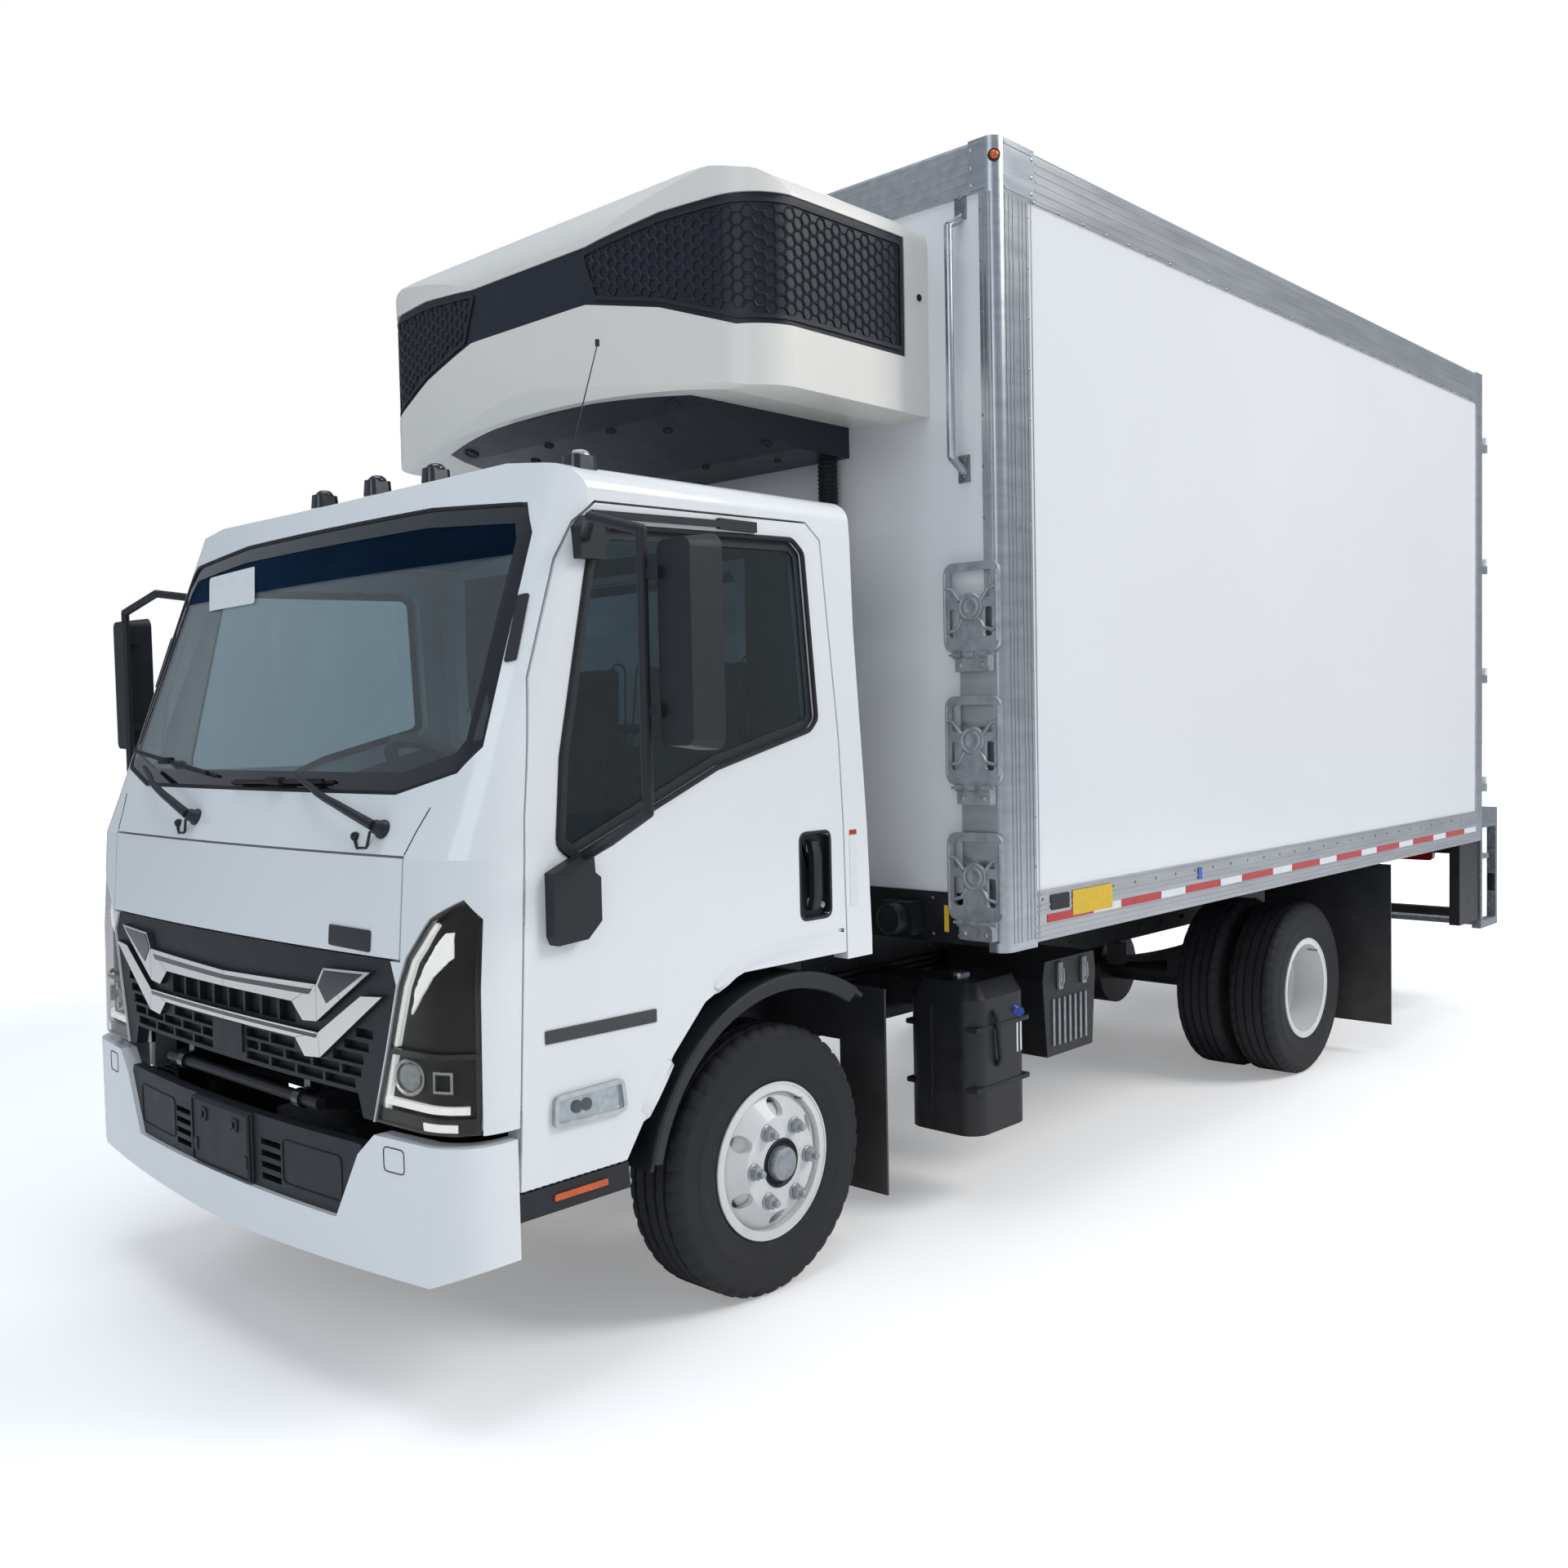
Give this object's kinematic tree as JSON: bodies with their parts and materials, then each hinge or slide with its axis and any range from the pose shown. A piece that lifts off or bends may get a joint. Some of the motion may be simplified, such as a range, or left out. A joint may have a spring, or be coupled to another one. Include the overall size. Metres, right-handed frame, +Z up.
{
  "type": "refrigerated box truck",
  "caption": "Low-cab light truck with an insulated box, a nose-mounted refrigeration unit, hinged rear doors and a rear step",
  "frame": {"origin": "On the ground below the middle of the bounding box", "axes": "X forward, Y to the truck's left, Z up"},
  "size_m": [6.685, 3, 3.3849],
  "materials": {
    "cab_paint": "gloss",
    "box_paint": "gloss",
    "unit_paint": "gloss",
    "wheel_paint": "satin",
    "frame_paint": "satin",
    "aluminium": "satin",
    "galvanised": "satin",
    "dark_plastic": "matt",
    "interior": "matt",
    "seat_cloth": "matt",
    "rubber": "matt",
    "tyre": "matt",
    "glass": "gloss",
    "lamp_lens": "gloss",
    "amber_lens": "gloss",
    "red_lens": "gloss",
    "engine_metal": "matt",
    "tank_plastic": "matt"
  },
  "bodies": {
    "chassis": {"chassis_frame": "frame_paint", "front_axle": "frame_paint", "leaf_springs": "frame_paint", "rear_axle": "frame_paint", "powertrain": "engine_metal", "box_sills": "frame_paint", "box_floor": "aluminium", "box_roof": "box_paint", "side_walls": "box_paint", "front_wall": "box_paint", "box_rails": "aluminium", "corner_posts": "aluminium", "front_sill": "frame_paint", "rear_frame": "aluminium", "rear_step": "galvanised", "underrun_frame": "frame_paint", "mudflaps": "rubber", "reductant_tank": "tank_plastic", "battery_box": "tank_plastic", "fuel_tank": "aluminium", "exhaust": "aluminium", "unit_shell": "unit_paint", "unit_grille": "dark_plastic", "unit_pan": "dark_plastic", "unit_hose": "rubber", "access_steps": "galvanised", "front_bumper": "cab_paint", "bumper_insert": "dark_plastic", "bumper_beam": "frame_paint", "tail_lamps": "red_lens"},
    "cab": {"cab_shell": "cab_paint", "cab_glass": "glass", "grille": "dark_plastic", "headlamps": "lamp_lens", "door_hinges": "galvanised", "cab_steps": "dark_plastic", "arch_liners": "dark_plastic", "roof_lamps": "amber_lens", "dashboard": "interior", "seats": "seat_cloth", "steering_wheel": "dark_plastic"},
    "front_lid": {"front_lid": "cab_paint"},
    "door_left": {"door_left": "cab_paint", "door_glass_left": "glass", "mirror_left": "dark_plastic"},
    "door_right": {"door_right": "cab_paint", "door_glass_right": "glass", "mirror_right": "dark_plastic"},
    "cargo_door_left": {"cargo_door_left": "box_paint"},
    "cargo_door_right": {"cargo_door_right": "box_paint"},
    "left_knuckle": {"left_knuckle": "frame_paint"},
    "right_knuckle": {"right_knuckle": "frame_paint"},
    "front_left_wheel": {"front_left_wheel": "wheel_paint", "front_left_tyre": "tyre"},
    "front_right_wheel": {"front_right_wheel": "wheel_paint", "front_right_tyre": "tyre"},
    "rear_left_wheels": {"rear_left_wheels": "wheel_paint", "rear_left_tyres": "tyre"},
    "rear_right_wheels": {"rear_right_wheels": "wheel_paint", "rear_right_tyres": "tyre"}
  },
  "joints": [
    {"name": "cab_tilt", "type": "hinge", "parent": "chassis", "child": "cab", "pos_m": [3.2725, 0, 0.7], "axis": [0, 1, 0], "range_deg": [0, 45]},
    {"name": "front_lid_hinge", "type": "hinge", "parent": "cab", "child": "front_lid", "pos_m": [3.2825, 0, 1.337], "axis": [0, -1, 0], "range_deg": [0, 70]},
    {"name": "door_left_hinge", "type": "hinge", "parent": "cab", "child": "door_left", "pos_m": [3.08, 1.015, 1], "axis": [0.0504, 0, -0.9987], "range_deg": [0, 75]},
    {"name": "door_right_hinge", "type": "hinge", "parent": "cab", "child": "door_right", "pos_m": [3.08, -1.015, 1], "axis": [-0.0504, 0, 0.9987], "range_deg": [0, 75]},
    {"name": "cargo_door_left_hinge", "type": "hinge", "parent": "chassis", "child": "cargo_door_left", "pos_m": [-3.1125, 1.221, 2], "axis": [0, 0, -1], "range_deg": [0, 270]},
    {"name": "cargo_door_right_hinge", "type": "hinge", "parent": "chassis", "child": "cargo_door_right", "pos_m": [-3.1125, -1.221, 2], "axis": [0, 0, 1], "range_deg": [0, 270]},
    {"name": "left_steering", "type": "hinge", "parent": "chassis", "child": "left_knuckle", "pos_m": [2.1625, 0.69, 0.386], "axis": [0, 0, 1], "range_deg": [-38, 38]},
    {"name": "right_steering", "type": "hinge", "parent": "chassis", "child": "right_knuckle", "pos_m": [2.1625, -0.69, 0.386], "axis": [0, 0, 1], "range_deg": [-38, 38]},
    {"name": "front_left_wheel_spin", "type": "hinge", "parent": "left_knuckle", "child": "front_left_wheel", "pos_m": [2.1625, 0.832, 0.386], "axis": [0, 1, 0], "continuous": true},
    {"name": "front_right_wheel_spin", "type": "hinge", "parent": "right_knuckle", "child": "front_right_wheel", "pos_m": [2.1625, -0.832, 0.386], "axis": [0, 1, 0], "continuous": true},
    {"name": "rear_left_wheels_spin", "type": "hinge", "parent": "chassis", "child": "rear_left_wheels", "pos_m": [-1.2025, 0.825, 0.386], "axis": [0, 1, 0], "continuous": true},
    {"name": "rear_right_wheels_spin", "type": "hinge", "parent": "chassis", "child": "rear_right_wheels", "pos_m": [-1.2025, -0.825, 0.386], "axis": [0, 1, 0], "continuous": true}
  ],
  "couplings": [
    {"joint": "right_steering", "follows": "left_steering", "ratio": 1}
  ]
}
